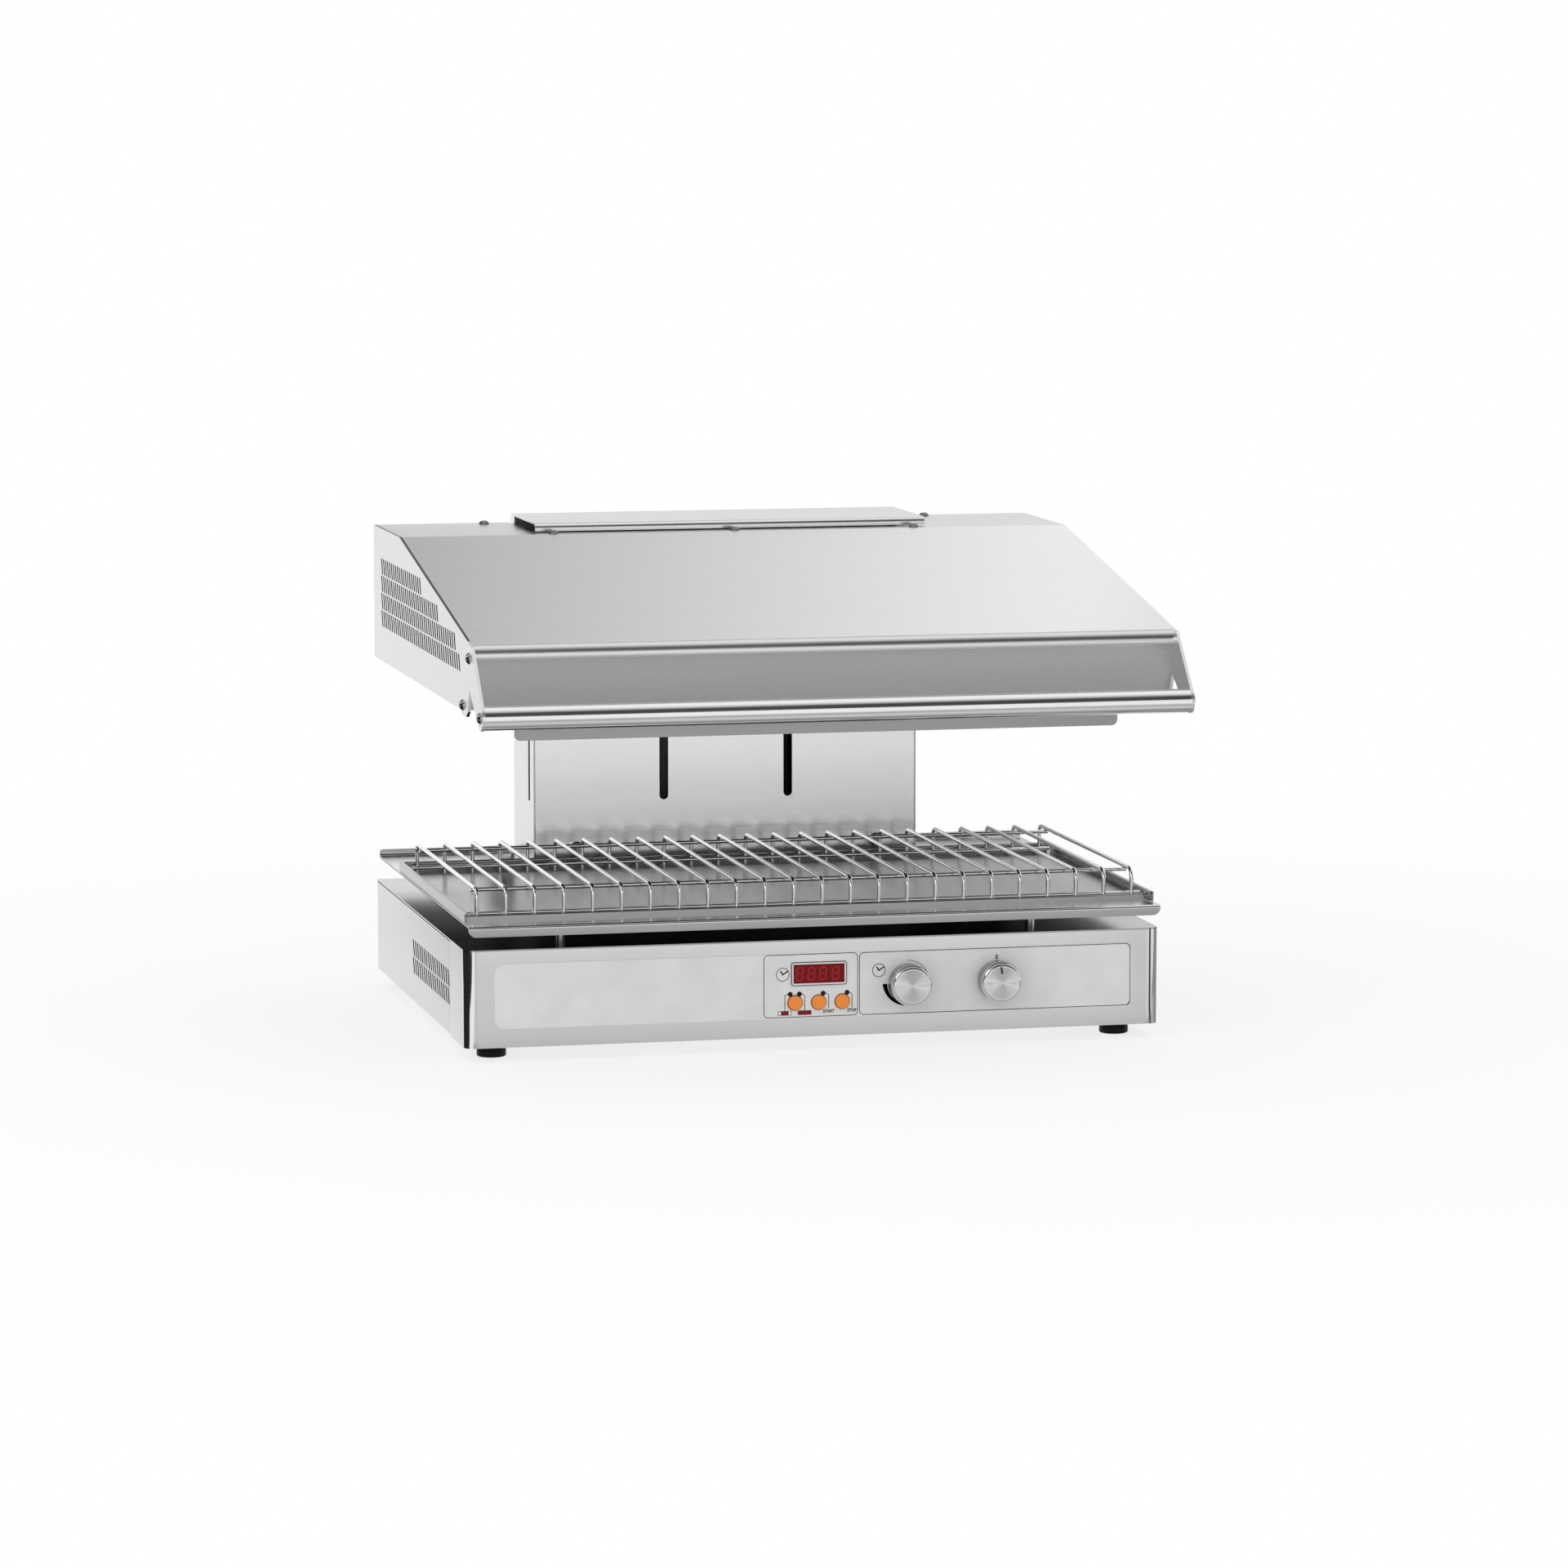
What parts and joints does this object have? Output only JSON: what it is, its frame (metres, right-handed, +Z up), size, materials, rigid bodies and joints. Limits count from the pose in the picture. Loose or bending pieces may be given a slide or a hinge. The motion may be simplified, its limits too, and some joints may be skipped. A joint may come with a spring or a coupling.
{
  "type": "salamander grill",
  "caption": "Countertop salamander grill: a hood with radiant elements and a tube handle slides up and down a rear column over a wire rack and drip pan, on a vented base with knobs and buttons.",
  "frame": {"origin": "on the floor, under the middle of the whole object", "axes": "+Z up, +X to the right seen from the front, +Y to the back, the handle towards -Y"},
  "size_m": [0.6076, 0.556, 0.4225],
  "materials": {
    "brushed_steel": "horizontal brushed grain",
    "mirror_steel": "polished",
    "bright_wire": "bright drawn",
    "screw_steel": "bright",
    "overlay_film": "silver film",
    "turned_aluminium": "turned",
    "orange_plastic": "satin",
    "red_lens": "gloss",
    "black_plastic": "satin",
    "white_plastic": "matte",
    "board": "satin",
    "brass": "plain",
    "plain_steel": "plain",
    "bush_bronze": "plain",
    "spring_black": "gloss",
    "spring_rod": "polished",
    "element_steel": "dark heat-tinted",
    "bead_ceramic": "matte",
    "mineral_wool": "fibrous"
  },
  "bodies": {
    "base": {"base_front_panel": "brushed_steel", "base_side_left": "brushed_steel", "base_side_right": "brushed_steel", "base_back_panel": "brushed_steel", "base_bottom_plate": "brushed_steel", "base_top_plate": "mirror_steel", "feet": "black_plastic", "posts": "mirror_steel", "carrier_plate": "brushed_steel", "column_front": "brushed_steel", "column_shell": "brushed_steel", "column_cap": "brushed_steel", "rack_stops": "brushed_steel", "guide_rods": "plain_steel", "rod_bracket": "plain_steel", "gas_spring_cylinders": "spring_black", "control_overlay": "overlay_film", "display_bezel": "overlay_film", "display_lens": "red_lens", "display_board": "board", "board_standoffs": "brass", "knob_switch_left": "black_plastic", "knob_switch_right": "black_plastic", "cable_gland": "black_plastic", "gland_nut": "black_plastic", "terminal_block": "white_plastic", "power_board": "board", "power_standoffs": "brass"},
    "hood": {"hood_shell": "brushed_steel", "hood_side_left": "brushed_steel", "hood_side_right": "brushed_steel", "hood_back_left": "brushed_steel", "hood_back_right": "brushed_steel", "hood_tunnel": "brushed_steel", "hood_bottom_plate": "brushed_steel", "handle_tube": "brushed_steel", "hood_side_screws": "screw_steel", "hood_top_screws": "screw_steel", "heater_tray": "brushed_steel", "heater_lip": "brushed_steel", "elements_inner": "element_steel", "elements_outer": "element_steel", "element_support": "brushed_steel", "element_beads": "bead_ceramic", "insulation": "mineral_wool", "carriage": "plain_steel", "carriage_bushes": "bush_bronze", "gas_spring_rods": "spring_rod"},
    "drip_pan": {"drip_pan": "brushed_steel"},
    "rack": {"rack_bars": "bright_wire", "rack_rails": "bright_wire"},
    "knob_left": {"knob_left": "turned_aluminium", "knob_shaft_left": "plain_steel"},
    "knob_right": {"knob_right": "turned_aluminium", "knob_shaft_right": "plain_steel"},
    "button_zone": {"button_zone": "orange_plastic"},
    "button_start": {"button_start": "orange_plastic"},
    "button_stop": {"button_stop": "orange_plastic"}
  },
  "joints": [
    {"name": "hood_lift", "type": "slide", "parent": "base", "child": "hood", "axis": [0, 0, 1], "range_m": [-0.11, 0]},
    {"name": "pan_slide", "type": "slide", "parent": "base", "child": "drip_pan", "axis": [0, -1, 0], "range_m": [0, 0.2]},
    {"name": "rack_lift", "type": "slide", "parent": "drip_pan", "child": "rack", "axis": [0, 0, 1], "range_m": [0, 0.015]},
    {"name": "knob_left_turn", "type": "hinge", "parent": "base", "child": "knob_left", "pos_m": [0.0786, -0.1824, 0.0552], "axis": [0, 1, 0], "range_deg": [0, 270]},
    {"name": "knob_right_turn", "type": "hinge", "parent": "base", "child": "knob_right", "pos_m": [0.1566, -0.1824, 0.0552], "axis": [0, 1, 0], "range_deg": [0, 270]},
    {"name": "button_zone_press", "type": "slide", "parent": "base", "child": "button_zone", "axis": [0, 1, 0], "range_m": [0, 0.001], "stiffness_N_per_m": 800, "springref_m": -0.0005},
    {"name": "button_start_press", "type": "slide", "parent": "base", "child": "button_start", "axis": [0, 1, 0], "range_m": [0, 0.001], "stiffness_N_per_m": 800, "springref_m": -0.0005},
    {"name": "button_stop_press", "type": "slide", "parent": "base", "child": "button_stop", "axis": [0, 1, 0], "range_m": [0, 0.001], "stiffness_N_per_m": 800, "springref_m": -0.0005}
  ]
}
